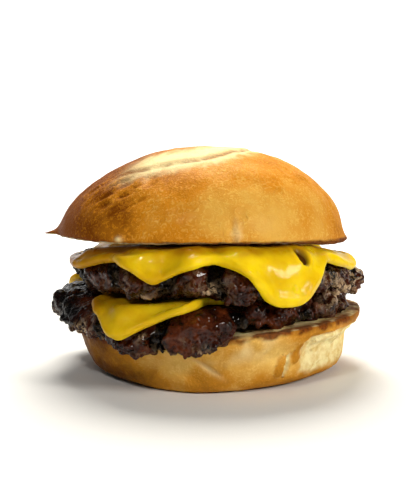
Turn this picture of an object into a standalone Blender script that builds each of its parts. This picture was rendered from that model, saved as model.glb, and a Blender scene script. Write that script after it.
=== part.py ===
"""A double cheeseburger 84 mm tall: bun, patty, cheese, patty, cheese, bun.

Lengths are in metres and heights are above the table. Angles are in degrees round the vertical
axis, anticlockwise from above: 0 is +X (right), -90 is the front (-Y) and 180 is the left.
A list of bumps holds (angle, half width in degrees, size), added up round the axis.
"""

import functools
import math

import bmesh
import bpy
from mathutils import Vector, noise

GAP = 0.0004  # between pieces that rest on each other

# Lower bun half (heel). Its cut face rises to the right, and the lower patty presses its front.
HEEL_CENTRE = (0.006, 0.0015)
HEEL_RIM_RADIUS = 0.0530
HEEL_HEIGHT = 0.0192
HEEL_SLOPE = 0.080
HEEL_PRESSED = [(-104, 18, 0.0022)]
HEEL_FLARE = [  # (angle, how far the rim stands out beyond the side)
    (-180, 0.0016), (-130, 0.0030), (-90, 0.0040), (-50, 0.0058), (-15, 0.0064), (25, 0.0062),
    (80, 0.0050), (140, 0.0030),
]
HEEL_TEAR = (-36, 22, 0.0016)  # the crust is torn off the side here
HEEL_BASE = [  # (angle, radius where it leaves the table)
    (-180, 0.0358), (-131, 0.0378), (-107, 0.0424), (-89, 0.0442), (-69, 0.0420), (-50, 0.0412),
    (-32, 0.0402), (-18, 0.0436), (0, 0.0464), (45, 0.0440), (90, 0.0410), (140, 0.0380),
]

# Upper bun half (crown)
CROWN_CENTRE = (-0.0014, 0.0)
CROWN_RADIUS = 0.0532
CROWN_CUT_HEIGHT = 0.0494
CROWN_SLOPE = -0.008
CROWN_RISE = 0.0343
CROWN_SHOULDERS = [(5, 50, 0.0002), (182, 45, -0.0018)]  # fuller on the right, flatter left
CROWN_FLAKES = [(181, 7, 0.0046), (-2, 13, 0.0024)]  # thin lips of crust at the cut edge
CROWN_EDGE_WAVES = [
    (-50, 16, 0.0004), (-122, 20, -0.0006), (-6, 16, -0.0014), (60, 20, 0.0006), (130, 16, -0.0005),
]

# Patties. Their rims are listed as (angle, radius) and are drawn through smoothly.
PATTY_EDGE = 0.0120  # width of the lower rounding of a patty's rim
LOWER_RIM = [
    (-180, 0.0562), (-168, 0.0580), (-152, 0.0568), (-140, 0.0548), (-129, 0.0550), (-118, 0.0584),
    (-107, 0.0548), (-98, 0.0586), (-89, 0.0590), (-82, 0.0560), (-75, 0.0526), (-64, 0.0516),
    (-50, 0.0518), (-35, 0.0528), (-20, 0.0536), (0, 0.0532), (20, 0.0534), (36, 0.0556),
    (54, 0.0546), (74, 0.0590), (88, 0.0556), (112, 0.0542), (128, 0.0548), (146, 0.0590),
    (163, 0.0556),
]
LOWER_SHOULDER = [(178, 26, 0.0030)]  # wider than usual here
LOWER_MIDDLE = 0.0292  # height of its top at the axis
LOWER_RIM_TOP = 0.0274
LOWER_RAISED = [(182, 27, 0.0060), (-91, 12, 0.0014), (-5, 34, 0.0009), (62, 26, 0.0010)]
LOWER_HANGING = [
    (-91, 12, 0.0042), (-118, 12, 0.0042), (-174, 22, -0.0030), (74, 10, 0.0046), (146, 12, 0.0046),
]
UPPER_RIM = [
    (-180, 0.0490), (-160, 0.0498), (-142, 0.0522), (-127, 0.0518), (-114, 0.0562), (-103, 0.0528),
    (-94, 0.0568), (-86.5, 0.0532), (-79, 0.0572), (-69, 0.0542), (-57, 0.0554), (-44, 0.0538),
    (-32, 0.0541), (-18, 0.0550), (-5, 0.0602), (8, 0.0580), (24, 0.0536), (38, 0.0532),
    (54, 0.0568), (68, 0.0550), (82, 0.0562), (95, 0.0542), (110, 0.0574), (126, 0.0542),
    (142, 0.0548), (160, 0.0490),
]
UPPER_SHOULDER = [(0, 34, 0.0080), (180, 40, 0.0080)]
UPPER_SAG = [(-90, 60, 0.0010), (178, 38, 0.0060), (2, 32, 0.0052), (70, 25, 0.0010)]
UPPER_HANGING = [
    (-80, 12, 0.0012), (-97, 10, 0.0012), (-64, 10, 0.0014), (-4, 20, 0.0034), (54, 14, 0.0030),
    (108, 12, 0.0008),
]
CRAG_SIZE = 0.0072
CRAG_DEPTH = 0.0026
CRAG_LEAST = 0.0004

# Cheese slices. Their hanging edges are listed as (angle, height), and where that is above the
# patty's rim, the slice ends out of sight.
SHORTEST_REACH = 0.72  # share of the patty's radius
LOWER_CHEESE_THICKNESS = 0.0018
LOWER_CHEESE_EDGE = [
    (-180, 0.0380), (-166, 0.0370), (-152, 0.0335), (-140, 0.0300), (-131, 0.0266), (-124, 0.0226),
    (-117, 0.0190), (-111, 0.0224), (-105, 0.0250), (-101, 0.0272), (-97, 0.0284), (-90, 0.0310),
    (-75, 0.0320), (-20, 0.0320), (15, 0.0320), (38, 0.0310), (50, 0.0272), (62, 0.0244),
    (72, 0.0262), (86, 0.0280), (105, 0.0290), (125, 0.0286), (140, 0.0226), (150, 0.0204),
    (164, 0.0290),
]
UPPER_CHEESE_THICKNESS = 0.0022
UPPER_CHEESE_EDGE = [
    (-180, 0.0414), (-160, 0.0408), (-143, 0.0402), (-133, 0.0424), (-126, 0.0440), (-120, 0.0424),
    (-113, 0.0406), (-107, 0.0362), (-101.5, 0.0388), (-95, 0.0420), (-87, 0.0434), (-79.5, 0.0412),
    (-74, 0.0366), (-69.5, 0.0308), (-64, 0.0293), (-58, 0.0296), (-54, 0.0326), (-48, 0.0376),
    (-44, 0.0420), (-40, 0.0430), (-33, 0.0410), (-22, 0.0388), (-12, 0.0428), (0, 0.0450),
    (18, 0.0444), (30, 0.0404), (45, 0.0325), (60, 0.0416), (78, 0.0434), (92, 0.0396), (104, 0.0330),
    (117, 0.0424), (134, 0.0438), (156, 0.0424),
]

BUN_SEGMENTS = 60
FILLING_SEGMENTS = 108  # the same for patties and cheese, so that they lie on each other
SEGMENT_TURN = 360 / FILLING_SEGMENTS
KNEE = 0.45  # share of the radius within which each layer is flat

CRUST = ((0.62, 0.30, 0.07), 0.45)
BEEF = ((0.09, 0.035, 0.02), 0.35)
CHEESE = ((0.90, 0.62, 0.04), 0.30)


def bumps(angle, listed):
    """The sum of smooth bumps at this angle round the axis."""
    total = 0.0
    for centre, half_width, size in listed:
        turned = (angle - centre + 180) % 360 - 180
        total += size * math.exp(-((turned / half_width) ** 2))
    return total


def through(angle, listed):
    """The value at this angle on a smooth closed curve through the listed (angle, value) pairs."""
    count = len(listed)
    nearest = max(range(count), key=lambda index: ((listed[index][0] - angle) % 360, index))
    pairs = [listed[(nearest + step) % count] for step in (-1, 0, 1, 2)]
    turns = [((pair[0] - pairs[1][0] + 180) % 360) - 180 for pair in pairs]
    values = [pair[1] for pair in pairs]
    width = turns[2]
    share = ((angle - pairs[1][0]) % 360) / width
    slopes = []
    for middle in (1, 2):
        before = (values[middle] - values[middle - 1]) / (turns[middle] - turns[middle - 1])
        after = (values[middle + 1] - values[middle]) / (turns[middle + 1] - turns[middle])
        slopes.append(0 if before * after <= 0 else width * 2 * before * after / (before + after))
    rest = 1 - share
    return (
        values[1] * (1 + 2 * share) * rest**2 + slopes[0] * share * rest**2
        + values[2] * (3 - 2 * share) * share**2 - slopes[1] * share**2 * rest
    )


def beside(angle):
    """This angle and those of the mesh columns on its two sides."""
    return tuple(round(angle + turned, 6) for turned in (-SEGMENT_TURN, 0, SEGMENT_TURN))


def smooth_step(value, low, high):
    """0 below low, 1 above high, and smooth between them."""
    share = min(1.0, max(0.0, (value - low) / (high - low)))
    return share * share * (3 - 2 * share)


def ramp(radius, outer):
    """0 inside the knee and 1 at outer, and straight between them, as each layer slopes."""
    return min(1.0, max(0.0, (radius / outer - KNEE) / (1 - KNEE)))


def circle_from_axis(angle, radius, centre):
    """Distance from the vertical axis to a circle of that radius round centre."""
    turn = math.radians(angle)
    along = centre[0] * math.cos(turn) + centre[1] * math.sin(turn)
    across = centre[0] * math.sin(turn) - centre[1] * math.cos(turn)
    return along + math.sqrt(radius**2 - across**2)


def heel_rim(angle):
    return circle_from_axis(angle, HEEL_RIM_RADIUS, HEEL_CENTRE)


def heel_top(radius, angle):
    """Height of the lower bun half's cut face."""
    right = radius * math.cos(math.radians(angle))
    pressed = bumps(angle, HEEL_PRESSED) * ramp(radius, heel_rim(angle))
    return HEEL_HEIGHT + HEEL_SLOPE * right - pressed


def crown_cut(radius, angle):
    """Height of the upper bun half's cut face."""
    right = radius * math.cos(math.radians(angle))
    wave = bumps(angle, CROWN_EDGE_WAVES) * (radius / CROWN_RADIUS) ** 6
    return CROWN_CUT_HEIGHT + CROWN_SLOPE * right + wave


class Patty:
    """One patty: a plate with a rounded rim, which may hang over the edge of what carries it."""

    def radius(self, angle):
        raise NotImplementedError

    def shoulder(self, angle):
        """Width of the upper rounding of its rim."""
        raise NotImplementedError

    def support_radius(self, angle):
        """How far out the piece below carries this patty."""
        raise NotImplementedError

    def support_knee(self, angle):
        """Radius from which the knee of the piece below is measured."""
        raise NotImplementedError

    def bottom(self, radius, angle):
        raise NotImplementedError

    def top(self, radius, angle):
        raise NotImplementedError

    def hanging(self, angle):
        """How far the rim hangs below the plate, where there is room beyond the piece below."""
        raise NotImplementedError

    @functools.cache
    def room(self, angle):
        """How far the patty reaches past the piece below."""
        return self.radius(angle) - self.support_radius(angle)

    def contact_radius(self, angle):
        """Radius where the flat underside ends and the rim's rounding begins."""
        flat = self.radius(angle) - PATTY_EDGE
        outside = max(flat, self.support_radius(angle))
        return flat + (outside - flat) * smooth_step(self.room(angle), 0.0015, 0.0035)

    @functools.cache
    def rim(self, angle):
        """Contact radius, outer radius, shoulder radius, and low, middle and high heights."""
        contact, outer = self.contact_radius(angle), self.radius(angle)
        shoulder = outer - self.shoulder(angle)
        hang = self.hanging(angle) * smooth_step(min(map(self.room, beside(angle))), 0.0036, 0.0046)
        low = max(self.bottom(contact, angle), self.bottom(outer, angle)) - hang
        high = self.top(shoulder, angle)
        return contact, outer, shoulder, low, (low + high) / 2, high

    def outline(self, angle):
        """(radius, height) from the bottom centre out round the rim to the top centre."""
        contact, outer, shoulder, low, middle, high = self.rim(angle)
        half = (outer - contact) / 2
        flat = self.bottom(contact, angle)
        points = [(0.0, self.bottom(0.0, angle))]
        knee = KNEE * self.support_knee(angle)
        points.append((knee, self.bottom(knee, angle)))
        points.append((contact, flat))
        turn = math.radians(45)
        points.append((contact + half * (1 - math.cos(turn)), flat - (flat - low) * math.sin(turn)))
        for degrees in (0, 32, 62, 90):
            turn = math.radians(degrees)
            rise = (middle - low) * (1 - math.cos(turn))
            points.append((contact + half + half * math.sin(turn), low + rise))
        for degrees in (25, 48, 70, 90):
            turn = math.radians(degrees)
            rise = (high - middle) * math.sin(turn)
            points.append((shoulder + (outer - shoulder) * math.cos(turn), middle + rise))
        points.append((KNEE * shoulder, self.top(KNEE * shoulder, angle)))
        points.append((0.0, self.top(0.0, angle)))
        return points

    def skin(self, angle, distance):
        """Point and outward normal on its upper skin, at that distance from the axis along it."""
        _, outer, shoulder, _, middle, high = self.rim(angle)
        width, height = outer - shoulder, high - middle
        bend = math.pi / 2 * math.sqrt((width**2 + height**2) / 2)
        if distance <= shoulder:
            return (distance, self.top(distance, angle)), (0.0, 1.0)
        if distance <= shoulder + bend:
            turn = (distance - shoulder) / bend * math.pi / 2
            point = (shoulder + width * math.sin(turn), middle + height * math.cos(turn))
            normal = Vector((math.sin(turn) / width, math.cos(turn) / height)).normalized()
            return point, (normal.x, normal.y)
        return (outer, middle - (distance - shoulder - bend)), (1.0, 0.0)


class LowerPatty(Patty):
    def radius(self, angle):
        return through(angle, LOWER_RIM)

    def shoulder(self, angle):
        return 0.007 + bumps(angle, LOWER_SHOULDER)

    def support_radius(self, angle):
        return heel_rim(angle) + 2 * GAP

    def support_knee(self, angle):
        return heel_rim(angle)

    def bottom(self, radius, angle):
        return heel_top(radius, angle) + GAP

    def top(self, radius, angle):
        share = ramp(radius, self.radius(angle) - self.shoulder(angle))
        rim_top = LOWER_RIM_TOP + bumps(angle, LOWER_RAISED)
        return LOWER_MIDDLE + (rim_top - LOWER_MIDDLE) * share

    def hanging(self, angle):
        return bumps(angle, LOWER_HANGING)


class UpperPatty(Patty):
    def radius(self, angle):
        return through(angle, UPPER_RIM)

    def shoulder(self, angle):
        return 0.009 + bumps(angle, UPPER_SHOULDER)

    def support_radius(self, angle):
        reach = max(map(lower_cheese_reach, beside(angle)))
        cheese = min(reach, LOWER.radius(angle)) + LOWER_CHEESE_THICKNESS
        past_lower = bumps(angle, UPPER_HANGING) > LOWER_CHEESE_THICKNESS
        patty = max(map(LOWER.radius, beside(angle))) + GAP
        return max(cheese, patty if past_lower else 0)

    def support_knee(self, angle):
        return LOWER.radius(angle) - LOWER.shoulder(angle)

    def bottom(self, radius, angle):
        below = LOWER.top(min(radius, LOWER.radius(angle) - LOWER.shoulder(angle)), angle)
        return below + LOWER_CHEESE_THICKNESS + 2 * GAP

    def top(self, radius, angle):
        share = ramp(radius, self.radius(angle) - self.shoulder(angle))
        plate = crown_cut(radius, angle) - UPPER_CHEESE_THICKNESS - 2 * GAP
        return plate - bumps(angle, UPPER_SAG) * share

    def hanging(self, angle):
        return bumps(angle, UPPER_HANGING)


LOWER = LowerPatty()
UPPER = UpperPatty()


def cheese_offsets(distance, shoulder, thickness):
    """How far the two faces of a slice lie off the patty's skin, at that distance along it."""
    past = distance - shoulder
    near = GAP * (1 + 2 * smooth_step(past, 0, 0.004))
    return near, near + thickness * (1 + 0.35 * smooth_step(past, 0.003, 0.010))


def slice_tip(patty, reach, thickness, angle):
    """The point of a slice's round edge that is furthest along the patty's skin."""
    (radius, height), (out, up) = patty.skin(angle, reach)
    middle = sum(cheese_offsets(reach, patty.rim(angle)[2], thickness)) / 2
    tip = 0.6 * thickness
    return radius + middle * out + tip * up, height + middle * up - tip * out


def edge_reach(patty, thickness, edge, angle):
    """Distance along a patty's skin at which its slice of cheese hangs down to the listed edge."""
    height = through(angle, edge)
    near, far = SHORTEST_REACH * patty.radius(angle), 2 * patty.radius(angle)
    for _ in range(24):
        middle = (near + far) / 2
        above = slice_tip(patty, middle, thickness, angle)[1] > height
        near, far = (middle, far) if above else (near, middle)
    return middle


@functools.cache
def lower_cheese_reach(angle):
    return edge_reach(LOWER, LOWER_CHEESE_THICKNESS, LOWER_CHEESE_EDGE, angle)


@functools.cache
def upper_cheese_reach(angle):
    return edge_reach(UPPER, UPPER_CHEESE_THICKNESS, UPPER_CHEESE_EDGE, angle)


def heel_outline(angle):
    """Flat base, rounded side, flared rim and toasted cut face of the lower bun half."""
    rim = heel_rim(angle)
    flare = through(angle, HEEL_FLARE)
    top = heel_top(rim, angle)
    base = through(angle, HEEL_BASE)
    side = rim - flare
    torn = bumps(angle, [HEEL_TEAR])
    return [
        (0.0, 0.0),
        (0.6 * base, 0.0),
        (base, 0.0),
        (base + 0.45 * (side - base), 0.0010),
        (base + 0.84 * (side - base), 0.0040),
        (side - 0.5 * torn, 0.0078),
        (side + 0.0006 - torn, 0.56 * top),
        (rim - 0.45 * flare - 0.6 * torn, 0.70 * top),
        (rim - 0.08 * flare, 0.84 * top),
        (rim, top - 0.0008),
        (rim - 0.0008, top),
        (0.86 * rim, heel_top(0.86 * rim, angle)),
        (0.45 * rim, heel_top(0.45 * rim, angle)),
        (0.0, heel_top(0.0, angle)),
    ]


def crown_outline(angle):
    """Cut face, crisp edge with its flakes, and the domed crust of the upper bun half."""
    rim = circle_from_axis(angle, CROWN_RADIUS, CROWN_CENTRE)
    flake = bumps(angle, CROWN_FLAKES)
    cut = crown_cut(rim, angle)
    top = CROWN_CUT_HEIGHT + CROWN_RISE
    points = [(0.0, crown_cut(0.0, angle))]
    points.append((0.55 * rim, crown_cut(0.55 * rim, angle)))
    points.append((0.9 * rim, crown_cut(0.9 * rim, angle)))
    points.append((rim - 0.0006 + 0.9 * flake, cut + 0.15 * flake))
    points.append((rim + flake, cut + 0.0008 + 0.2 * flake))
    points.append((rim + 0.25 * flake, cut + 0.0028))
    for degrees in (14, 25, 37, 49, 61, 74):
        turn = math.radians(degrees)
        fuller = bumps(angle, CROWN_SHOULDERS) * math.sin(2 * turn)
        reach = rim * math.cos(turn) + fuller
        points.append((reach, cut + (top - cut) * math.sin(turn) ** 0.90 + 0.7 * fuller))
    points.append((0.0, top))
    return points


def slice_outline(patty, reach, thickness, angle):
    """A slice of cheese that lies on a patty and hangs over its rim, with a thick round edge."""
    shoulder = patty.rim(angle)[2]
    start = min(shoulder, reach - 0.002)
    distances = [0.0, KNEE * shoulder] + [start + (reach - start) * step / 4 for step in range(5)]
    inner, outer = [], []
    for distance in distances:
        (radius, height), (out, up) = patty.skin(angle, distance)
        near, far = cheese_offsets(distance, shoulder, thickness)
        inner.append((radius + near * out, height + near * up))
        outer.append((radius + far * out, height + far * up))
    return inner + [slice_tip(patty, reach, thickness, angle)] + outer[::-1]


def crag(point):
    """Depth of the clefts between a patty's coarse crumbs, 0 on top of a crumb."""
    distances, _ = noise.voronoi(point / CRAG_SIZE)
    cleft = smooth_step(distances[0], 0.25, 0.75)
    wander = 0.5 + 0.5 * noise.noise(point / (2.3 * CRAG_SIZE))
    return CRAG_LEAST + CRAG_DEPTH * cleft * (0.35 + 0.65 * wander)


def crumbled(outline, points):
    """Moves the rim points of a patty inward, by the clefts between its crumbs."""
    first, last = 4, len(outline) - 4  # the rim, without the flat top and bottom
    moved = []
    for index, point in enumerate(points):
        if first <= index <= last:
            before, after = outline[index - 1], outline[index + 1]
            along = Vector((after[0] - before[0], after[1] - before[1])).normalized()
            turned = Vector((point.x, point.y, 0)).normalized()
            inward = Vector((0, 0, along.x)) - turned * along.y
            point = point + inward * crag(point)
        moved.append(point)
    return moved


def turned_solid(name, segments, outline_at, finish, relief=None):
    """A closed solid round the axis, from the outline that outline_at gives for each angle."""
    mesh = bmesh.new()
    columns = []
    for index in range(segments):
        angle = round(360 * index / segments, 6)
        outline = outline_at(angle)
        turn = math.radians(angle)
        points = [Vector((r * math.cos(turn), r * math.sin(turn), z)) for r, z in outline]
        if relief:
            points = relief(outline, points)
        columns.append(points)
    bottom = mesh.verts.new(columns[0][0])
    top = mesh.verts.new(columns[0][-1])
    rings = [[mesh.verts.new(point) for point in column[1:-1]] for column in columns]
    for index, here in enumerate(rings):
        following = rings[(index + 1) % segments]
        mesh.faces.new((bottom, following[0], here[0]))
        mesh.faces.new((here[-1], following[-1], top))
        for low in range(len(here) - 1):
            mesh.faces.new((here[low], following[low], following[low + 1]))
            mesh.faces.new((here[low], following[low + 1], here[low + 1]))
    bmesh.ops.recalc_face_normals(mesh, faces=mesh.faces)
    data = bpy.data.meshes.new(name)
    mesh.to_mesh(data)
    mesh.free()
    data.shade_smooth()
    data.set_sharp_from_angle(angle=math.radians(50))
    solid = bpy.data.objects.new(name, data)
    bpy.context.scene.collection.objects.link(solid)
    solid.data.materials.append(plain_material(name, *finish))
    return solid


def plain_material(name, colour, roughness):
    material = bpy.data.materials.new(name)
    material.use_nodes = True
    shader = material.node_tree.nodes["Principled BSDF"]
    shader.inputs["Base Color"].default_value = (*colour, 1)
    shader.inputs["Roughness"].default_value = roughness
    material.diffuse_color = (*colour, 1)
    return material


def build():
    for obj in list(bpy.data.objects):
        bpy.data.objects.remove(obj)
    turned_solid("heel", BUN_SEGMENTS, heel_outline, CRUST)
    turned_solid("patty_lower", FILLING_SEGMENTS, LOWER.outline, BEEF, crumbled)
    turned_solid(
        "cheese_lower",
        FILLING_SEGMENTS,
        lambda angle: slice_outline(LOWER, lower_cheese_reach(angle), LOWER_CHEESE_THICKNESS, angle),
        CHEESE,
    )
    turned_solid("patty_upper", FILLING_SEGMENTS, UPPER.outline, BEEF, crumbled)
    turned_solid(
        "cheese_upper",
        FILLING_SEGMENTS,
        lambda angle: slice_outline(UPPER, upper_cheese_reach(angle), UPPER_CHEESE_THICKNESS, angle),
        CHEESE,
    )
    turned_solid("crown", BUN_SEGMENTS, crown_outline, CRUST)


build()
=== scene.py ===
"""The cheeseburger dressed for its photograph: crust, crumb, seared beef and melted cheese.

Lengths are in metres. Angles are in degrees round the vertical axis: 0 is right, -90 the front.
"""

import math
import random

import bmesh
import bpy
import numpy as np
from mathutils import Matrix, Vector, noise
from mathutils.bvhtree import BVHTree
from mathutils.kdtree import KDTree


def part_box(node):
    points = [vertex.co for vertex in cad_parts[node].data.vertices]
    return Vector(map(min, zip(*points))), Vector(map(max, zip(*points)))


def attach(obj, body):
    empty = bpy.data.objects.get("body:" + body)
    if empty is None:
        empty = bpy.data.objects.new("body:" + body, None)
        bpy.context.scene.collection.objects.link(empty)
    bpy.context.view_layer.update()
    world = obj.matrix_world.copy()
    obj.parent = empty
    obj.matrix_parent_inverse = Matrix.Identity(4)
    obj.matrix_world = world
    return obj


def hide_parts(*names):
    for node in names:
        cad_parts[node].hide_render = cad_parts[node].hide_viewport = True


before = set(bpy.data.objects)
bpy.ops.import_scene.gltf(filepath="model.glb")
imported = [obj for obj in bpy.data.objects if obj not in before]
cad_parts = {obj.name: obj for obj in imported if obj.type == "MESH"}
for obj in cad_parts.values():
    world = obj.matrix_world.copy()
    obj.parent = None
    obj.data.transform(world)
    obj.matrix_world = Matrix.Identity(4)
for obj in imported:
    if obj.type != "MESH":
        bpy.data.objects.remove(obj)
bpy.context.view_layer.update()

PHOTO_HEIGHT = 480  # pixels
FOCAL_PIXELS = 789
HORIZON_ROW = 195  # the row of the photograph at the camera's own height
CAMERA_DISTANCE = 0.300
CAMERA_HEIGHT = 0.065

BEEF_VOXEL = 0.00045
BEEF_HIDDEN_RADIUS = 0.040  # inside it, a patty is covered above and below


def angle_of(point):
    return math.degrees(math.atan2(point[1], point[0]))


def turned_from(angle, centre):
    """Signed angle from centre, between -180 and 180."""
    return (angle - centre + 180) % 360 - 180


def bump(value, centre, half_width):
    return math.exp(-(((value - centre) / half_width) ** 2))


def smooth_step(value, low, high):
    share = min(1.0, max(0.0, (value - low) / (high - low)))
    return share * share * (3 - 2 * share)


def fractal(point, size, octaves=3):
    """Noise between about -1 and 1, with lumps of that size."""
    return noise.fractal(Vector(point) / size, 1.0, 2.0, octaves)


# Meshes

def quads_of(node):
    """The node's mesh with its triangles joined to quads, so that it subdivides smoothly."""
    mesh = bmesh.new()
    mesh.from_mesh(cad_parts[node].data)
    bmesh.ops.remove_doubles(mesh, verts=mesh.verts, dist=1e-6)
    bmesh.ops.join_triangles(
        mesh, faces=mesh.faces, angle_face_threshold=math.radians(70), angle_shape_threshold=math.radians(80)
    )
    data = bpy.data.meshes.new(node)
    mesh.to_mesh(data)
    mesh.free()
    return data


def new_piece(name, data):
    piece = bpy.data.objects.new(name, data)
    bpy.context.scene.collection.objects.link(piece)
    return piece


def apply_modifiers(piece):
    seen = piece.evaluated_get(bpy.context.evaluated_depsgraph_get())
    data = bpy.data.meshes.new_from_object(seen)
    piece.modifiers.clear()
    piece.data = data


def subdivided(name, node, levels):
    piece = new_piece(name, quads_of(node))
    modifier = piece.modifiers.new("smooth", "SUBSURF")
    modifier.levels = modifier.render_levels = levels
    apply_modifiers(piece)
    return piece


def displace(piece, height_at):
    """Moves each vertex along its normal by height_at(point, normal)."""
    data = piece.data
    for vertex, normal in zip(data.vertices, [Vector(n.vector) for n in data.vertex_normals]):
        vertex.co += normal * height_at(vertex.co, normal)
    data.update()


def paint(piece, name, share_at):
    """Stores share_at(point, normal) on each vertex, for the material to read."""
    data = piece.data
    normals = [Vector(n.vector) for n in data.vertex_normals]
    shares = [share_at(v.co, n) for v, n in zip(data.vertices, normals)]
    layer = data.attributes.new(name, "FLOAT", "POINT")
    layer.data.foreach_set("value", shares)


# Materials

class Nodes:
    """Short names for building one material."""

    def __init__(self, name, **settings):
        self.material = bpy.data.materials.new(name)
        self.material.use_nodes = True
        self.tree = self.material.node_tree
        self.shader = self.tree.nodes["Principled BSDF"]
        for socket, value in settings.items():
            self.shader.inputs[socket.replace("_", " ")].default_value = value
        self.place = self.add("ShaderNodeTexCoord").outputs["Object"]

    def add(self, kind, **settings):
        node = self.tree.nodes.new(kind)
        for name, value in settings.items():
            setattr(node, name, value)
        return node

    def link(self, source, target):
        self.tree.links.new(source, target)

    def stored(self, name):
        return self.add("ShaderNodeAttribute", attribute_name=name).outputs["Fac"]

    def noise(self, size, detail=4.0, roughness=0.55, distortion=0.0):
        node = self.add("ShaderNodeTexNoise")
        node.inputs["Scale"].default_value = 1 / size
        node.inputs["Detail"].default_value = detail
        node.inputs["Roughness"].default_value = roughness
        node.inputs["Distortion"].default_value = distortion
        self.link(self.place, node.inputs["Vector"])
        return node.outputs["Fac"]

    def cells(self, size, feature="F1"):
        node = self.add("ShaderNodeTexVoronoi", feature=feature)
        node.inputs["Scale"].default_value = 1 / size
        self.link(self.place, node.inputs["Vector"])
        return node.outputs["Distance"]

    def ramp(self, source, stops):
        """A colour ramp through (position, colour) stops."""
        node = self.add("ShaderNodeValToRGB")
        while len(node.color_ramp.elements) < len(stops):
            node.color_ramp.elements.new(0.5)
        for element, (position, colour) in zip(node.color_ramp.elements, stops):
            element.position = position
            element.color = (*colour, 1)
        self.link(source, node.inputs["Fac"])
        return node.outputs["Color"]

    def span(self, source, low, high, to_low=0.0, to_high=1.0):
        node = self.add("ShaderNodeMapRange", interpolation_type="SMOOTHSTEP")
        self.link(source, node.inputs["Value"])
        for socket, value in zip(("From Min", "From Max", "To Min", "To Max"), (low, high, to_low, to_high)):
            node.inputs[socket].default_value = value
        return node.outputs["Result"]

    def math(self, operation, first, second):
        node = self.add("ShaderNodeMath", operation=operation)
        for socket, value in zip(node.inputs, (first, second)):
            if isinstance(value, (int, float)):
                socket.default_value = value
            else:
                self.link(value, socket)
        return node.outputs["Value"]

    def mix(self, share, first, second):
        node = self.add("ShaderNodeMix", data_type="RGBA")
        sockets = [node.inputs["Factor"]] + [s for s in node.inputs if s.type == "RGBA"]
        for socket, value in zip(sockets, (share, first, second)):
            if isinstance(value, tuple):
                socket.default_value = (*value, 1)
            else:
                self.link(value, socket)
        return [s for s in node.outputs if s.type == "RGBA"][0]

    def bump(self, height, distance, below=None):
        node = self.add("ShaderNodeBump")
        node.inputs["Distance"].default_value = distance
        self.link(height, node.inputs["Height"])
        if below:
            self.link(below, node.inputs["Normal"])
        return node.outputs["Normal"]

    def finish(self, colour, roughness=None, normal=None):
        self.link(colour, self.shader.inputs["Base Color"])
        if roughness:
            self.link(roughness, self.shader.inputs["Roughness"])
        if normal:
            self.link(normal, self.shader.inputs["Normal"])
        return self.material


# pale dough on the lower half, and painted highlight along the crown's fold and pinch
PALE_DOUGH_AND_HIGHLIGHT = (0.90, 0.72, 0.36)
CRUMB_STOPS = ((0.28, (0.70, 0.47, 0.14)), (0.58, (0.92, 0.79, 0.41)))  # places on a colour ramp
TOASTED_STOPS = ((0.3, (0.045, 0.008, 0.0015)), (0.75, (0.24, 0.055, 0.006)))
BEEF_STOPS = (
    (0.28, (0.0015, 0.0005, 0.0003)), (0.46, (0.034, 0.0050, 0.0008)), (0.66, (0.120, 0.024, 0.0045)),
)
BEEF_FAT = (0.66, 0.45, 0.25)
# thin cheese, also used as painted shade
THIN_AND_SHADED_CHEESE = (0.32, 0.115, 0.001)
# painted shade inside the burst bubble
BURST_SHADE = (0.060, 0.018, 0.002)


def crust_material(name, colours, stroke):
    """Baked crust: tan to brown in patches, with fine strokes lightened as painted highlight, pale crumb and
    toasted edges.
    """
    nodes = Nodes(
        name, Specular_IOR_Level=0.02, Subsurface_Weight=0.08, Subsurface_Scale=0.002, Coat_Weight=0.02,
        Coat_Roughness=0.22,
    )
    nodes.shader.inputs["Subsurface Radius"].default_value = (1.0, 0.40, 0.10)
    patches = nodes.noise(0.014, detail=6)
    strokes = nodes.noise(0.0016, detail=3, roughness=0.6, distortion=1.8)
    # stored browning, which also carries painted shade at the left and painted light at the right
    depth = nodes.math("ADD", nodes.stored("browning_and_shade"), nodes.span(patches, 0.3, 0.7, -0.18, 0.18))
    # lighter on the strokes, which the bump below raises: painted highlight on their ridges
    depth = nodes.math("ADD", depth, nodes.span(strokes, 0.50, 0.64, 0.0, -stroke))
    colour = nodes.ramp(depth, list(zip((0.0, 0.5, 1.0), colours)))
    # pale dough, and painted highlight along the crown's fold and pinch
    colour = nodes.mix(nodes.stored("pale"), colour, PALE_DOUGH_AND_HIGHLIGHT)
    crumb = nodes.ramp(nodes.noise(0.0034, detail=5), CRUMB_STOPS)
    colour = nodes.mix(nodes.stored("crumb"), colour, crumb)
    toasted = nodes.ramp(nodes.noise(0.0012), TOASTED_STOPS)
    colour = nodes.mix(nodes.stored("toasted"), colour, toasted)
    wrinkles = nodes.bump(strokes, 0.0016 * stroke)
    wrinkles = nodes.bump(nodes.cells(0.0009, feature="SMOOTH_F1"), 0.00010, wrinkles)
    crumb_pores = nodes.math("MULTIPLY", nodes.noise(0.0032, detail=6, roughness=0.6), nodes.stored("crumb"))
    normal = nodes.bump(crumb_pores, 0.0012, wrinkles)
    rough = nodes.span(nodes.math("ADD", patches, nodes.stored("crumb")), 0.3, 1.1, 0.45, 0.85)
    return nodes.finish(colour, rough, normal)


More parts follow.
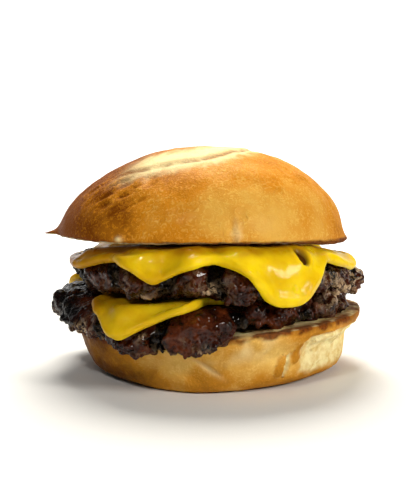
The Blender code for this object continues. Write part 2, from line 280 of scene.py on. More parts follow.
def beef_material(name):
    """Seared beef: red-brown on top, nearly black as painted shade in the clefts and at the far left, tan
    where fat and crumb show.
    """
    nodes = Nodes(name, Specular_IOR_Level=0.02, Coat_Weight=0.48, Coat_Roughness=0.05)
    crumbs = nodes.noise(0.0065, detail=6, roughness=0.62)
    # painted shade: darker in the clefts and at the far left
    depth = nodes.math("ADD", crumbs, nodes.span(nodes.stored("painted_shade"), 0.0, 1.0, 0.0, -0.34))
    colour = nodes.ramp(depth, BEEF_STOPS)
    fibres = nodes.span(nodes.noise(0.0030, detail=5, roughness=0.7, distortion=1.0), 0.46, 0.58)
    pale = nodes.math("MULTIPLY", nodes.stored("pale"), fibres)
    colour = nodes.mix(pale, colour, BEEF_FAT)
    grease = nodes.span(nodes.noise(0.0012, detail=3), 0.40, 0.62, 0.14, 0.60)
    fine = nodes.noise(0.0008, detail=4, roughness=0.7)
    grains = nodes.math("SUBTRACT", fine, nodes.math("MULTIPLY", nodes.cells(0.0012), 0.7))
    normal = nodes.bump(grains, 0.00100)
    return nodes.finish(colour, grease, normal)


def cheese_material(name, colour, shaded):
    """Melted processed cheese: smooth, glossy, a little translucent, orange where it is thin, darker orange
    as painted shade at the left and under the bun, and painted shade in the burst bubble.
    """
    nodes = Nodes(
        name, Specular_IOR_Level=0.05, Subsurface_Weight=0.30, Subsurface_Scale=0.0030, Coat_Weight=0.15,
        Coat_Roughness=0.05,
    )
    nodes.shader.inputs["Subsurface Radius"].default_value = (1.0, 0.55, 0.05)
    tone = nodes.ramp(nodes.noise(0.009, detail=4), [(0.38, shaded), (0.62, colour)])
    # orange where thin, and painted shade at the left and under the bun
    tone = nodes.mix(nodes.stored("thin_and_shade"), tone, THIN_AND_SHADED_CHEESE)
    # painted shade in the burst bubble's pit, standing in for the hole
    tone = nodes.mix(nodes.stored("burst_shade"), tone, BURST_SHADE)
    normal = nodes.bump(nodes.noise(0.0030, detail=3), 0.00022)
    rough = nodes.span(nodes.noise(0.004, detail=4), 0.35, 0.7, 0.26, 0.46)
    return nodes.finish(tone, rough, normal)


# Upper bun half

CROWN_COLOURS = ((0.70, 0.39, 0.070), (0.58, 0.215, 0.010), (0.20, 0.053, 0.0020))  # tan, brown, deep
CROWN_CUT = 0.0494  # height of the cut under the middle
CROWN_RISE = 0.034  # from the cut to the top
CROWN_CUT_SLOPE = 0.008  # the cut sinks towards the right
CROWN_FLAKE_ANGLE = -121
CROWN_FLAKE_HEIGHT = 0.0012  # above the cut, as are the tip and the pinch
CROWN_TIP_ANGLE = -179
CROWN_TIP_HEIGHT = 0.0008
PINCH_ANGLE = -79
PINCH_HEIGHT = 0.0036
BULGE_ANGLE = -32
BULGE_RADIUS = 0.0495
WRINKLES_ANGLE = -130
WRINKLES_HEIGHT = 0.0665
WRINKLES_RADIUS = 0.048
FOLD = [  # the fold in the crust, seen from above
    Vector(place)
    for place in (
        (-0.0340, -0.0245), (-0.0260, -0.0300), (-0.0173, -0.0326), (-0.0085, -0.0328), (-0.0017, -0.0318),
        (0.0059, -0.0263), (0.0150, -0.0111), (0.0200, 0.0020),
    )
]


def fold_place(point):
    """How far behind the fold's line a point lies, and how strong the fold is there."""
    nearest, behind, along = 1.0, 0.0, 0.0
    for index, (start, end) in enumerate(zip(FOLD, FOLD[1:])):
        step, offset = end - start, Vector(point[:2]) - start
        share = min(1.0, max(0.0, offset.dot(step) / step.length_squared))
        away = (offset - step * share).length
        if away < nearest:
            nearest, along = away, (index + share) / (len(FOLD) - 1)
            behind = math.copysign(away, step.x * offset.y - step.y * offset.x)
    ends = smooth_step(along, 0.0, 0.30) * (1 - smooth_step(along, 0.88, 1.0))
    return behind, ends * smooth_step(point.z - CROWN_CUT, 0.014, 0.020)


def fold_height(point):
    """The fold across the top: a groove, and behind it a lip that fades away."""
    behind, share = fold_place(point)
    groove = -0.0004 * bump(behind, -0.0006, 0.0011)
    lip = 0.0005 * smooth_step(behind, -0.0006, 0.0010) * (1 - smooth_step(behind, 0.001, 0.008))
    return share * (groove + lip)


def fold_painted_highlight(point):
    """Painted highlight on both sides of the fold, with a ragged border and a brown line between."""
    behind, share = fold_place(point)
    ragged = 0.0018 * fractal(point, 0.0030)
    if behind > 0:
        pale = 1 - smooth_step(behind + 2 * ragged, 0.006, 0.019)
    else:
        pale = 1 - smooth_step(ragged - behind, 0.0010, 0.0075)
    line = bump(behind + 0.0003 * fractal(point, 0.004), -0.0004, 0.0008)
    return share * pale * (1 - 0.8 * line * smooth_step(fractal(point, 0.009), -0.5, 0.0))


def wrinkle_height(point):
    """Bunched wrinkles that run up to the right, on the left of the front."""
    turned = turned_from(angle_of(point), WRINKLES_ANGLE)
    rise = point.z - WRINKLES_HEIGHT
    place = bump(turned, 0, 18) * bump(rise, 0, 0.0065)
    if place < 0.02:
        return 0.0
    beside = math.radians(turned) * WRINKLES_RADIUS
    along, across = 0.88 * beside + 0.47 * rise, 0.88 * rise - 0.47 * beside
    return 0.0010 * place * (0.4 - 2.2 * abs(noise.noise(Vector((along / 0.008, across / 0.0019, 0)))))


DENTS = (  # small dents in the crust: angle, height, radius, depth
    (-77.0, 0.0588, 0.0016, 0.0006), (-114.0, 0.0576, 0.0017, 0.0004), (-106.0, 0.0571, 0.0014, 0.0004),
    (-58.0, 0.0655, 0.0015, 0.0004), (-42.0, 0.0735, 0.0018, 0.0005), (-33.0, 0.0700, 0.0013, 0.0005),
    (-116.0, 0.0700, 0.0020, 0.0005), (-99.0, 0.0645, 0.0013, 0.0003), (-24.0, 0.0610, 0.0015, 0.0004),
    (38.0, 0.0640, 0.0016, 0.0005), (95.0, 0.0600, 0.0018, 0.0005), (152.0, 0.0660, 0.0016, 0.0005),
)


def dent_depth(point):
    depth = 0.0
    for angle, height, radius, deep in DENTS:
        if abs(point.z - height) < 0.005:
            aside = math.radians(turned_from(angle_of(point), angle)) * math.hypot(point.x, point.y)
            away = math.hypot(aside, 1.2 * (point.z - height)) / radius
            depth += deep * (math.exp(-(away**2)) - 0.35 * bump(away, 1.7, 0.5))
    return depth


def crown_tip(point):
    """Draws the crust's edge out into a thin tip at the far left."""
    turned = turned_from(angle_of(point), CROWN_TIP_ANGLE)
    reach = 0.0042 * bump(turned, 0, 3.6) * bump(point.z - CROWN_CUT, CROWN_TIP_HEIGHT, 0.0010)
    return Vector((point.x, point.y, 0)).normalized() * reach


def pinch_height(angle, rise):
    """A pinch in the crust just above the cut: a fine ridge with a groove on its left."""
    turned = turned_from(angle, PINCH_ANGLE) + 2.0 * noise.noise(Vector((0, 0, rise / 0.003)))
    pinch = 0.0005 * bump(turned, 0.6, 1.2) - 0.0009 * bump(turned, -1.6, 1.3)
    return pinch * (1 - smooth_step(rise, 0.005, 0.011))


def crown_relief(point, normal):
    """Waves, dimples, dents, wrinkles and the fold on the crust, and a bulge of crumb under its edge."""
    angle = angle_of(point)
    rise = point.z - CROWN_CUT
    if normal.z < -0.6 and rise < 0.003:
        near = bump(math.hypot(point.x, point.y), BULGE_RADIUS, 0.0035)
        bulge = bump(turned_from(angle, BULGE_ANGLE), 0, 22) * near
        return 0.0013 * bulge + 0.0003 * fractal(point, 0.003)
    soft = smooth_step(rise, 0.001, 0.008)
    waves = 0.0006 * fractal(point, 0.022) * soft
    dimples = 0.00022 * fractal((point.x, point.y, 0.5 * point.z), 0.0055) * soft
    flake = 0.0011 * bump(turned_from(angle, CROWN_FLAKE_ANGLE), 0, 1.8)
    flake *= bump(rise, CROWN_FLAKE_HEIGHT, 0.0012)
    crust = waves + dimples + pinch_height(angle, rise) + flake - dent_depth(point)
    return crust + wrinkle_height(point) + fold_height(point)


def crown_browning_and_shade(point, normal):
    """Browning in a band below the top, darker at the right edge and in the fold; darker at the left, partly
    browning and partly painted shade; painted shade low at the left, painted light at the right below the
    band; painted shade between wrinkles and painted highlight on them.
    """
    rise = (point.z - CROWN_CUT) / CROWN_RISE
    # darker at the left: partly browning, partly painted shade
    left = smooth_step(-point.x, -0.010, 0.052)
    band = smooth_step(rise + 0.10 * fractal(point, 0.012), 0.38, 0.72)
    # lighter at the right below the band: painted light
    right = smooth_step(point.x, 0.010, 0.040) * (1 - band)
    behind, share = fold_place(point)
    groove = share * bump(behind + 0.0003 * fractal(point, 0.004), -0.0004, 0.0010)
    edge = smooth_step(point.x, 0.026, 0.046)
    # darker low at the left: painted shade
    low = smooth_step(-point.x, 0.034, 0.050) * (1 - smooth_step(rise, 0.10, 0.45))
    shade = 0.80 * left + 0.30 * low - 0.14 * right + 0.34 * edge
    # darker between the wrinkles and lighter on them: painted shade and painted highlight
    return 0.26 + 0.24 * band + shade + 0.5 * groove - 450 * wrinkle_height(point)


def crown_toasted(point, normal):
    wander = 0.0004 * fractal(point, 0.004)
    above_cut = point.z - CROWN_CUT + CROWN_CUT_SLOPE * point.x
    edge = 1 - smooth_step(above_cut + wander, 0.0002, 0.0011)
    outer = smooth_step(math.hypot(point.x, point.y), 0.0490, 0.0512)
    return 0.95 * edge * outer * (0.45 + 0.55 * smooth_step(point.x, -0.03, 0.01))


def crown_crumb(point, normal):
    """Bare crumb on the cut face, and on one small flake at its edge."""
    flake = bump(turned_from(angle_of(point), CROWN_FLAKE_ANGLE), 0, 1.6)
    flake *= bump(point.z - CROWN_CUT, CROWN_FLAKE_HEIGHT, 0.0010)
    return max(smooth_step(-normal.z, 0.5, 0.9), 0.8 * flake)


def crown_painted_highlight(point, normal):
    """Painted highlight along the fold, and a streak of it in the pinch."""
    turned = turned_from(angle_of(point), PINCH_ANGLE) + 1.3 * fractal(point, 0.0035)
    pinched = bump(turned, 0.4, 1.2) * bump(point.z - CROWN_CUT, PINCH_HEIGHT, 0.0034)
    # painted highlight along the fold and on the pinch's ridge
    return max(0.9 * fold_painted_highlight(point), 0.45 * pinched)


def build_crown():
    crown = subdivided("bun_crown", "crown", 3)
    displace(crown, crown_relief)
    for vertex in crown.data.vertices:
        vertex.co += crown_tip(vertex.co)
    # browning, with painted shade at the left and painted light at the right
    paint(crown, "browning_and_shade", crown_browning_and_shade)
    paint(crown, "crumb", crown_crumb)
    # painted highlight along the fold and on the pinch
    paint(crown, "pale", crown_painted_highlight)
    paint(crown, "toasted", crown_toasted)
    crown.data.materials.append(crust_material("crown_crust", CROWN_COLOURS, 0.30))
    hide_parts("crown")
    return crown


# Lower bun half

HEEL_COLOURS = ((0.86, 0.56, 0.150), (0.58, 0.25, 0.022), (0.17, 0.060, 0.007))
HEEL_MIDDLE = 0.006  # the heel's own middle lies to the right of the patties'
HEEL_RIM_HEIGHT = 0.0192
HEEL_RIM_SLOPE = 0.080
HEEL_FLAKES = (  # angle, half width, height, half height
    (-66.0, 2.2, 0.0085, 0.0042), (-58.0, 2.6, 0.0122, 0.0038),
)
HEEL_GAP = (-62.4, 1.0, 0.0088, 0.0048)  # white crumb between the two flakes
TEAR_ANGLE = -32
TEAR_HALF_WIDTH = 27
CREASE_ANGLE = -96
CREASE_HEIGHT = 0.0088


def heel_angle(point):
    return angle_of((point.x - HEEL_MIDDLE, point.y))


def heel_rim_height(point):
    return HEEL_RIM_HEIGHT + HEEL_RIM_SLOPE * point.x


def patch_share(point, patch):
    """1 inside a patch of the lower half's side, with a ragged border."""
    angle, half_width, height, half_height = patch
    lean = (point.z - height) * 250
    across = abs(turned_from(heel_angle(point), angle + lean)) / half_width
    up = abs(point.z - height) / half_height
    return 1 - smooth_step(math.hypot(across, up**2) + 0.25 * fractal(point, 0.003), 0.75, 1.05)


def torn_share(point):
    """1 where the crust is torn off the side, with a ragged border."""
    ragged = 0.5 * fractal(point, 0.005)
    aside = abs(turned_from(heel_angle(point), TEAR_ANGLE)) / TEAR_HALF_WIDTH
    across = 1 - smooth_step(aside + 0.30 * ragged, 0.75, 0.95)
    up = smooth_step(point.z + 0.0025 * ragged, 0.0035, 0.0062)
    below_rim = 1 - smooth_step(point.z - heel_rim_height(point) + 0.001 * ragged, -0.0048, -0.0036)
    return max(across * up * below_rim, patch_share(point, HEEL_GAP))


def heel_crease(point):
    """1 along a short slanting crease in the front."""
    turned = turned_from(heel_angle(point), CREASE_ANGLE) + (point.z - CREASE_HEIGHT) * 1500
    return bump(turned, 0, 1.8) * bump(point.z, CREASE_HEIGHT, 0.0028)


def heel_relief(point, normal):
    """Waves, flakes and a crease in the crust, and rough crumb where it is torn off."""
    if normal.z < -0.7:
        return 0.0
    torn = torn_share(point)
    crumb = torn * (0.0008 * fractal(point, 0.0045, 4) + 0.0003 * fractal(point, 0.0014) - 0.0009)
    side = 1 - smooth_step(abs(normal.z), 0.6, 0.9)
    flakes = 0.0007 * max(patch_share(point, patch) for patch in HEEL_FLAKES)
    waves = 0.0005 * fractal(point, 0.016) + 0.00015 * fractal(point, 0.004)
    return crumb + side * (waves + flakes - 0.0007 * heel_crease(point))


def heel_browning_and_shade(point, normal):
    """Darker at the left as painted shade, and darker towards the table, on the flakes and along the rim at
    the right.
    """
    # darker at the left: painted shade
    left = smooth_step(-point.x, 0.006, 0.042)
    low = 1 - smooth_step(point.z + 0.0015 * fractal(point, 0.008), 0.002, 0.010)
    flakes = max(patch_share(point, patch) for patch in HEEL_FLAKES)
    near_rim = 1 - smooth_step(heel_rim_height(point) - point.z, 0.003, 0.008)
    rim = smooth_step(point.x, 0.018, 0.034) * near_rim
    return 0.22 + 0.84 * left + 0.30 * low + 0.34 * flakes + 0.45 * rim


def heel_crumb(point, normal):
    return max(torn_share(point), 0.85 * smooth_step(normal.z, 0.6, 0.9))


def heel_pale(point, normal):
    """Creamy patches high on the front, and the crease."""
    front = (1 - smooth_step(-point.x, 0.000, 0.026)) * (1 - smooth_step(point.x, 0.016, 0.030))
    high = smooth_step(point.z, 0.0085, 0.0150) * front
    patches = smooth_step(fractal((point.x, point.y, 0.6 * point.z), 0.010), -0.25, 0.45)
    return max(0.60 * high * patches, 0.7 * heel_crease(point))


def heel_toasted(point, normal):
    """A toasted ring at the rim, borders of the flakes, and scorched patches on the cut face."""
    outer = smooth_step(math.hypot(point.x - HEEL_MIDDLE, point.y), 0.0450, 0.0500)
    below = heel_rim_height(point) - point.z + 0.0011 * fractal(point, 0.0045)
    near = 1 - smooth_step(below, 0.0012, 0.0030)
    patchy = 0.40 + 0.60 * smooth_step(fractal(point, 0.005), -0.35, 0.15)
    border = max(bump(patch_share(point, patch), 0.45, 0.22) for patch in HEEL_FLAKES)
    scorched = smooth_step(normal.z, 0.6, 0.9) * smooth_step(fractal(point, 0.0065), -0.05, 0.35)
    return max(0.95 * outer * near * patchy, 0.45 * border, 0.75 * scorched)


def build_heel():
    heel = subdivided("bun_heel", "heel", 3)
    displace(heel, heel_relief)
    # browning, with painted shade at the left
    paint(heel, "browning_and_shade", heel_browning_and_shade)
    paint(heel, "crumb", heel_crumb)
    paint(heel, "pale", heel_pale)
    paint(heel, "toasted", heel_toasted)
    heel.data.materials.append(crust_material("heel_crust", HEEL_COLOURS, 0.12))
    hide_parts("heel")
    return heel


# Beef

LOWER_CREVICES = (-158, -131, -106, -76, -48, -12, 28, 62, 100, 136, 165)  # angles between its lobes
UPPER_CREVICES = (-154, -127, -103, -86.5, -68, -30, -12, 16, 46, 76, 96, 124, 152)
LARGE_CRUMBS = (100, 0.0032, 0.0060, 0.05, 0.30)  # count, smallest, largest, least and most share proud
MIDDLE_CRUMBS = (420, 0.0014, 0.0026, 0.10, 0.50)
FINE_CRUMBS = (1500, 0.0006, 0.0012, 0.30, 0.60)
FRINGE_CRUMBS = (520, 0.0011, 0.0026, 0.45, 1.00)


def crumb_mesh(centres, axes, sizes):
    """One mesh of many rounded crumbs. Each has its own turn and three half lengths."""
    ball = bmesh.new()
    bmesh.ops.create_icosphere(ball, subdivisions=2, radius=1)
    points = np.array([v.co[:] for v in ball.verts])
    faces = np.array([[v.index for v in f.verts] for f in ball.faces])
    ball.free()
    vertices, triangles = [], []
    for index, (centre, axis, size) in enumerate(zip(centres, axes, sizes)):
        turn = np.array(Vector(axis).to_track_quat("Z", "Y").to_matrix())
        vertices.append((points * size) @ turn.T + np.array(centre))
        triangles.append(faces + index * len(points))
    return np.concatenate(vertices), np.concatenate(triangles)


def seared_share(point):
    """1 on the smooth seared faces of the lobes, 0 where the beef is crumbly."""
    return smooth_step(fractal(point, 0.011), -0.45, -0.05)


def beef_crumbs(base, cheeses, seed):
    """Crumbs sunk in the patty's rim, flatter where cheese lies on them, and a ragged lower fringe."""
    rng = random.Random(seed)
    data = base.data
    data.calc_loop_triangles()
    rim = [t for t in data.loop_triangles if math.hypot(*t.center[:2]) > 0.0425 and abs(t.normal.z) < 0.97]
    fringe = [t for t in rim if t.normal.z < -0.15 and math.hypot(*t.center[:2]) > 0.0490]
    centres, axes, sizes = [], [], []
    for kind in (LARGE_CRUMBS, MIDDLE_CRUMBS, FINE_CRUMBS, FRINGE_CRUMBS):
        count, low, high, least, most = kind
        carriers = fringe if kind is FRINGE_CRUMBS else rim
        for triangle in rng.choices(carriers, [t.area for t in carriers], k=count):
            corners = [data.vertices[i].co for i in triangle.vertices]
            shares = sorted((rng.random(), rng.random()))
            weights = (shares[0], shares[1] - shares[0], 1 - shares[1])
            place = sum((c * w for c, w in zip(corners, weights)), Vector())
            size = rng.uniform(low, high)
            covered = min(tree.find_nearest(place)[3] for tree in cheeses) < 0.0026
            smooth = 0 if kind is FRINGE_CRUMBS else seared_share(place)
            proud = 0.00015 if covered else size * rng.uniform(least, most) * (1 - 0.8 * smooth)
            wide = (0.45, 0.85) if kind is FRINGE_CRUMBS else (0.75, 1.30)
            lengths = (size * rng.uniform(*wide), size * rng.uniform(*wide), size)
            centres.append(place - triangle.normal * (size - proud))
            tilt = Vector([rng.uniform(-0.45, 0.45) for _ in range(3)])
            axes.append(triangle.normal + tilt * (0.2 if covered else 1))
            sizes.append(lengths)
    return crumb_mesh(centres, axes, sizes)


def with_plain_middle(data):
    """Replaces the hidden middle of a patty's top and underside with two flat polygons."""
    mesh = bmesh.new()
    mesh.from_mesh(data)
    hidden = [f for f in mesh.faces if math.hypot(*f.calc_center_median()[:2]) < BEEF_HIDDEN_RADIUS]
    bmesh.ops.delete(mesh, geom=hidden, context="FACES")
    border = [e for e in mesh.edges if e.is_boundary]
    filled = bmesh.ops.holes_fill(mesh, edges=border, sides=0)
    bmesh.ops.triangulate(mesh, faces=filled["faces"])
    mesh.to_mesh(data)
    mesh.free()


def crevice_share(point, crevices):
    """1 at the bottom of the winding crevices between a patty's lobes."""
    angle = angle_of(point)
    deepest = 0.0
    for index, centre in enumerate(crevices):
        turned = turned_from(angle, centre)
        if abs(turned) < 9:
            wander = 4.0 * noise.noise(Vector((3.7 * index, 0.5, point.z / 0.006)))
            deepest = max(deepest, bump(turned + wander, 0, 2.0))
    return deepest * smooth_step(math.hypot(point.x, point.y), 0.0455, 0.0500)


def beef_grain(point, crevices):
    """Height of the beef: crevices, smooth seared faces, and lumps parted by clefts between them."""
    seared = seared_share(point)
    lumps = abs(noise.noise(point / 0.0052)) + 0.5 * abs(noise.noise(point / 0.0021 + Vector((7, 3, 1))))
    clefts = -0.0011 * (1 - smooth_step(lumps, 0.0, 0.22)) * (1 - 0.7 * seared)
    grit = (1 - 0.3 * seared) * (0.00055 * fractal(point, 0.0021, 3) + 0.00016 * fractal(point, 0.0009, 2))
    return clefts + grit - 0.0026 * crevice_share(point, crevices)


def beef_pale(point, low, crevices):
    """Fat and grey crumb show in patches: under the rim, in the crevices and at the right end."""
    low_down = smooth_step(0.9 * fractal(point, 0.010) + 0.18 - (point.z - low - 0.007) * 50, 0.1, 0.5)
    right = smooth_step(point.x + 0.004 * fractal(point, 0.006), 0.036, 0.044)
    right *= smooth_step(point.z, 0.024, 0.029)
    bare = (1 - 0.85 * seared_share(point)) * max(low_down, 0.25 * crevice_share(point, crevices))
    return max(bare, (0.9 - 0.4 * seared_share(point)) * right)


def beef_painted_shade(point, crevices):
    """Painted shade: dark in the clefts, and darker at the far left."""
    # darker where the surface sinks into clefts: painted shade
    deep = 1 - smooth_step(beef_grain(point, crevices), -0.0007, -0.0001)
    # darker at the far left: painted shade
    return max(deep, 0.55 * smooth_step(-point.x + 0.004 * fractal(point, 0.006), 0.034, 0.048))


def surface_tree(node):
    """A search tree of a node's surface."""
    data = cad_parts[node].data
    return BVHTree.FromPolygons([v.co[:] for v in data.vertices], [p.vertices[:] for p in data.polygons])


def joined_mesh(name, data, crumbs, faces):
    """One mesh of a patty's own mesh and its crumbs."""
    core = np.array([v.co[:] for v in data.vertices])
    core_faces = [tuple(p.vertices) for p in data.polygons]
    crumb_faces = [tuple(f) for f in (faces + len(core)).tolist()]
    joined = bpy.data.meshes.new(name)
    joined.from_pydata(np.concatenate([core, crumbs]).tolist(), [], core_faces + crumb_faces)
    return joined


def build_patty(name, node, cheese_nodes, crevices, seed):
    base = subdivided(name, node, 1)
    crumbs, faces = beef_crumbs(base, [surface_tree(cheese) for cheese in cheese_nodes], seed)
    base.data = joined_mesh(name, base.data, crumbs, faces)
    remesh = base.modifiers.new("fuse", "REMESH")
    remesh.mode = "VOXEL"
    remesh.voxel_size = BEEF_VOXEL
    apply_modifiers(base)
    with_plain_middle(base.data)
    base.data.shade_smooth()
    displace(base, lambda point, normal: beef_grain(point, crevices))
    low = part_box(node)[0][2]
    paint(base, "pale", lambda point, normal: beef_pale(point, low, crevices))
    # painted shade in the clefts and at the far left
    paint(base, "painted_shade", lambda point, normal: beef_painted_shade(point, crevices))
    base.data.materials.append(beef_material(name + "_seared"))
    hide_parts(node)
    return base


# Cheese

BURST = (-55.2, 0.0448, 0.0027, 0.0028)  # the burst bubble: angle, height, half width, half height
BUBBLE = (-60.4, 0.0350, 0.0016)  # a small bubble: angle, height, radius
CHEESE_RADIUS = 0.057  # of the drips, from the middle
RIDGE_ANGLE = -131  # a ridge where the upper slice bends down, rising to the right
RIDGE_HEIGHT = 0.0436
RIDGE_SLOPE = 0.000095  # height gained in each degree
SWELL_ANGLE = -85  # where the upper slice bulges under the bun's front edge
EDGE_COLUMNS = 108  # the slices' mesh columns, all round
EDGE_STEPS = 8


def edge_tree(node):
    """A search tree of points along a slice's edge, from the furthest point of each mesh column."""
    furthest = {}
    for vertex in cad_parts[node].data.vertices:
        column = round(angle_of(vertex.co) * EDGE_COLUMNS / 360) % EDGE_COLUMNS
        score = math.hypot(vertex.co.x, vertex.co.y) - vertex.co.z
        if column not in furthest or score > furthest[column][0]:
            furthest[column] = (score, vertex.co.copy())
    edge = [furthest[column][1] for column in sorted(furthest)]
    tree = KDTree(EDGE_STEPS * len(edge))
    for index, (here, following) in enumerate(zip(edge, edge[1:] + edge[:1])):
        for step in range(EDGE_STEPS):
            tree.insert(here.lerp(following, step / EDGE_STEPS), EDGE_STEPS * index + step)
    tree.balance()
    return tree


def on_side(point, angle, height):
    """Where a point lies round a spot on the side: to its right, and above it."""
    return math.radians(turned_from(angle_of(point), angle)) * CHEESE_RADIUS, point.z - height


def burst_depth(point):
    """0 outside the burst bubble, 1 in it."""
    right, up = on_side(point, *BURST[:2])
    return 1 - smooth_step(math.hypot(right / BURST[2], up / BURST[3]), 0.72, 1.0)


def upper_relief(point, normal):
    """What only the upper slice has: a swelling, a ridge, the burst bubble and a small bubble."""
    turned = turned_from(angle_of(point), RIDGE_ANGLE)
    above_ridge = point.z - RIDGE_HEIGHT - RIDGE_SLOPE * turned
    along = smooth_step(turned, -8, 4) * (1 - smooth_step(turned, 34, 46))
    outer = smooth_step(math.hypot(point.x, point.y), 0.040, 0.049) * smooth_step(normal.z, 0.3, 0.8)
    height = 0.0008 * outer * bump(turned_from(angle_of(point), SWELL_ANGLE), 0, 50)
    height += along * (0.00060 * bump(above_ridge, 0, 0.0009) - 0.00045 * bump(above_ridge, 0.0019, 0.0011))
    right, up = on_side(point, *BURST[:2])
    away = math.hypot(right / BURST[2], up / BURST[3])
    height += 0.00035 * bump(away, 1.2, 0.22) - 0.0018 * burst_depth(point)
    right, up = on_side(point, *BUBBLE[:2])
    away = math.hypot(right, up) / BUBBLE[2]
    return height + 0.00055 * (1 - smooth_step(away, 0.3, 1.0)) - 0.00022 * bump(away, 1.05, 0.2)


def cheese_relief(point, normal, edge, upper):
    """Soft waves, and on the outside a rounded edge with a hollow above it and runs down the side."""
    outward = normal.x * point.x + normal.y * point.y > 0 or normal.z > 0.3
    height = 0.00030 * fractal(point, 0.010, 2)
    if not outward:
        return height
    inside = edge.find(point)[2]
    bead = 0.00060 * bump(inside, 0.0014, 0.0013) - 0.00050 * bump(inside, 0.0046, 0.0020)
    flow = 0.00035 * noise.noise(Vector((angle_of(point) / 3.4, point.z / 0.013, 2.0)))
    height += bead + flow * (1 - smooth_step(abs(normal.z), 0.5, 0.9))
    return height + upper_relief(point, normal) if upper else height


def cheese_thin_and_shade(point, upper):
    """Thin cheese with painted shade at the left of the front, and painted shade where the upper slice
    leaves the bun.
    """
    # orange at the left: thin cheese, and painted shade
    left = bump(turned_from(angle_of(point), -158), 0, 36)
    # darker orange under the bun: painted shade
    under_bun = 0.75 * smooth_step(point.z + 0.0012 * fractal(point, 0.006), 0.0445, 0.0480) if upper else 0
    return min(1.0, left + under_bun + 0.22 * smooth_step(fractal(point, 0.012), 0.0, 0.6))


def build_cheese(name, colour, shaded, upper):
    cheese = subdivided(name + "_slice", name, 3)
    edge = edge_tree(name)
    # thin cheese, and painted shade at the left and under the bun
    paint(cheese, "thin_and_shade", lambda point, normal: cheese_thin_and_shade(point, upper))
    # painted shade in the burst bubble's pit
    paint(cheese, "burst_shade", lambda point, normal: burst_depth(point) if upper else 0.0)
    displace(cheese, lambda point, normal: cheese_relief(point, normal, edge, upper))
    cheese.data.materials.append(cheese_material(name + "_melted", colour, shaded))
    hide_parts(name)
    return cheese


# Floor, lights and camera

FLOOR_HEIGHT = -0.0002
FLOOR_FRONT = -1.6
FLOOR_BACK = 0.40  # where it starts to curve up
SWEEP_RADIUS = 0.25
BACKDROP_TOP = 0.95
SWEEP_HALF_WIDTH = 1.5
BURGER_MIDDLE = (0, 0, 0.045)
LIGHTS = (  # name, place, what it points at, diameter, watts, colour
    ("key", (-0.03, 0.22, 0.48), (0, 0, 0.06), 0.32, 4.6, (1.0, 0.96, 0.88)),
    ("front", (0.40, -0.36, 0.28), BURGER_MIDDLE, 0.17, 2.1, (1.0, 0.97, 0.92)),
    ("glint", (-0.12, -0.40, 0.36), BURGER_MIDDLE, 0.04, 0.66, (1.0, 0.97, 0.92)),
)
WORLD_COLOUR = (1.0, 0.985, 0.96, 1)
WORLD_STRENGTH = 0.08


def area_light(name, place, target, size, power, colour):
    light = bpy.data.lights.new(name, "AREA")
    light.shape = "DISK"
    light.size = size
    light.energy = power
    light.color = colour
    lamp = bpy.data.objects.new(name, light)
    lamp.location = place
    lamp.rotation_euler = (Vector(target) - Vector(place)).to_track_quat("-Z", "Y").to_euler()
    bpy.context.scene.collection.objects.link(lamp)


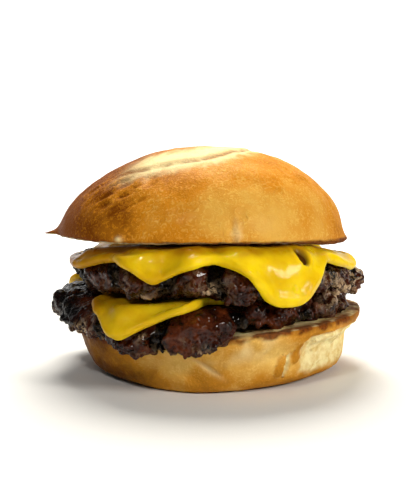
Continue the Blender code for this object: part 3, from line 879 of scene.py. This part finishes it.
def build_sweep():
    """A pale floor that curves up into a backdrop and glows, brighter towards the backdrop and dimmer at the
    sides.
    """
    profile = [(FLOOR_FRONT, FLOOR_HEIGHT), (FLOOR_BACK, FLOOR_HEIGHT)]
    for degrees in range(10, 91, 10):
        turn = math.radians(degrees)
        back, up = SWEEP_RADIUS * math.sin(turn), SWEEP_RADIUS * (1 - math.cos(turn))
        profile.append((FLOOR_BACK + back, FLOOR_HEIGHT + up))
    profile.append((FLOOR_BACK + SWEEP_RADIUS, BACKDROP_TOP))
    points = [(x, y, z) for y, z in profile for x in (-SWEEP_HALF_WIDTH, SWEEP_HALF_WIDTH)]
    faces = [(2 * i, 2 * i + 1, 2 * i + 3, 2 * i + 2) for i in range(len(profile) - 1)]
    data = bpy.data.meshes.new("sweep")
    data.from_pydata(points, [], faces)
    data.shade_smooth()
    sweep = new_piece("sweep", data)
    nodes = Nodes("sweep_paper", Roughness=0.9, Specular_IOR_Level=0.1)
    nodes.shader.inputs["Emission Color"].default_value = (1, 1, 1, 1)
    split = nodes.add("ShaderNodeSeparateXYZ")
    nodes.link(nodes.place, split.inputs["Vector"])
    # the sweep glows, brighter towards the back and dimmer at the sides
    behind = nodes.span(split.outputs["Y"], 0.10, 0.50, 0.0, 0.75)
    aside = nodes.span(nodes.math("ABSOLUTE", split.outputs["X"], 0.0), 0.32, 0.75, 1.0, 0.25)
    nodes.link(nodes.math("MULTIPLY", behind, aside), nodes.shader.inputs["Emission Strength"])
    paper = nodes.ramp(nodes.noise(0.5), [(0, (0.70, 0.70, 0.69)), (1, (0.74, 0.74, 0.73))])
    data.materials.append(nodes.finish(paper))


def build_studio():
    world = bpy.data.worlds.new("studio")
    bpy.context.scene.world = world
    world.use_nodes = True
    background = world.node_tree.nodes["Background"]
    background.inputs["Color"].default_value = WORLD_COLOUR
    background.inputs["Strength"].default_value = WORLD_STRENGTH
    for light in LIGHTS:
        area_light(*light)
    bpy.context.scene.view_settings.view_transform = "Standard"


def build_camera():
    camera = bpy.data.cameras.new("camera")
    camera.sensor_fit = "VERTICAL"
    camera.sensor_height = 36
    camera.lens = FOCAL_PIXELS * camera.sensor_height / PHOTO_HEIGHT
    camera.clip_start = 0.01
    seen_from = bpy.data.objects.new("camera", camera)
    pitch = math.atan((PHOTO_HEIGHT / 2 - HORIZON_ROW) / FOCAL_PIXELS)
    seen_from.location = (0, -CAMERA_DISTANCE, CAMERA_HEIGHT)
    seen_from.rotation_euler = (math.radians(90) - pitch, 0, 0)
    bpy.context.scene.collection.objects.link(seen_from)
    bpy.context.scene.camera = seen_from


pieces = [
    build_crown(),
    build_heel(),
    build_cheese("cheese_upper", (0.82, 0.58, 0.005), (0.71, 0.44, 0.003), True),
    build_cheese("cheese_lower", (0.76, 0.54, 0.009), (0.66, 0.40, 0.004), False),
    build_patty("beef_lower", "patty_lower", ["cheese_lower"], LOWER_CREVICES, 7),
    build_patty("beef_upper", "patty_upper", ["cheese_lower", "cheese_upper"], UPPER_CREVICES, 11),
]
for piece in pieces:
    piece.data.shade_smooth()
    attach(piece, "root")
build_sweep()
build_studio()
build_camera()
